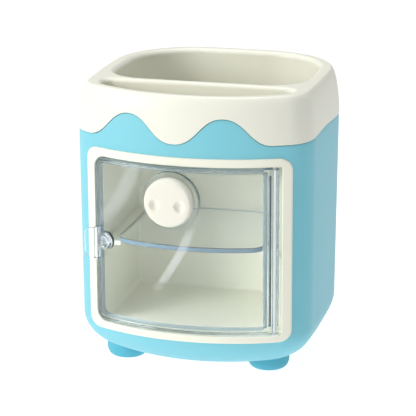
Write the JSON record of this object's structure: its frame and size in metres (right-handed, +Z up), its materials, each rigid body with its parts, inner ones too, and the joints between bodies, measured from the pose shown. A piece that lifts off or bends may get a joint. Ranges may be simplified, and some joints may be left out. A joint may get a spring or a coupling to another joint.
{
  "type": "pencil holder",
  "caption": "Rounded desk pencil holder: a cream cover with divided compartments over a blue body, and a small shelved cabinet behind a clear curved hinged door.",
  "frame": {"origin": "under the middle of the overall box, at the level of the feet's soles", "axes": "+Z up, +X to the holder's right seen from the front, +Y to the back; the door is at -Y"},
  "size_m": [0.1058, 0.117, 0.128],
  "materials": {
    "body_plastic": "satin moulded plastic, sky blue",
    "foot_plastic": "soft matt rubbery plastic, sky blue",
    "cream_plastic": "satin moulded plastic, cream",
    "knob_plastic": "satin moulded plastic, cream",
    "clear_plastic": "clear polished styrene with a faint blue tint",
    "rod_steel": "drawn steel rod",
    "screw_steel": "zinc plated steel"
  },
  "bodies": {
    "body": {"outer_shell": "body_plastic", "top_cover": "cream_plastic", "cabinet_liner": "cream_plastic", "shelf": "clear_plastic", "hinge_rod": "rod_steel", "base_screws": "screw_steel", "foot_front_left": "foot_plastic", "foot_front_right": "foot_plastic", "foot_rear_left": "foot_plastic", "foot_rear_right": "foot_plastic"},
    "door": {"door_panel": "clear_plastic", "pull_tab": "clear_plastic", "tab_stud": "clear_plastic", "nose_knob": "knob_plastic", "nose_collar": "clear_plastic", "nose_screw": "screw_steel"}
  },
  "joints": [
    {"name": "door_hinge", "type": "hinge", "parent": "body", "child": "door", "pos_m": [0.0378, -0.04056, 0.06], "axis": [0, -0.02, 0.9998], "range_deg": [0, 105]}
  ]
}
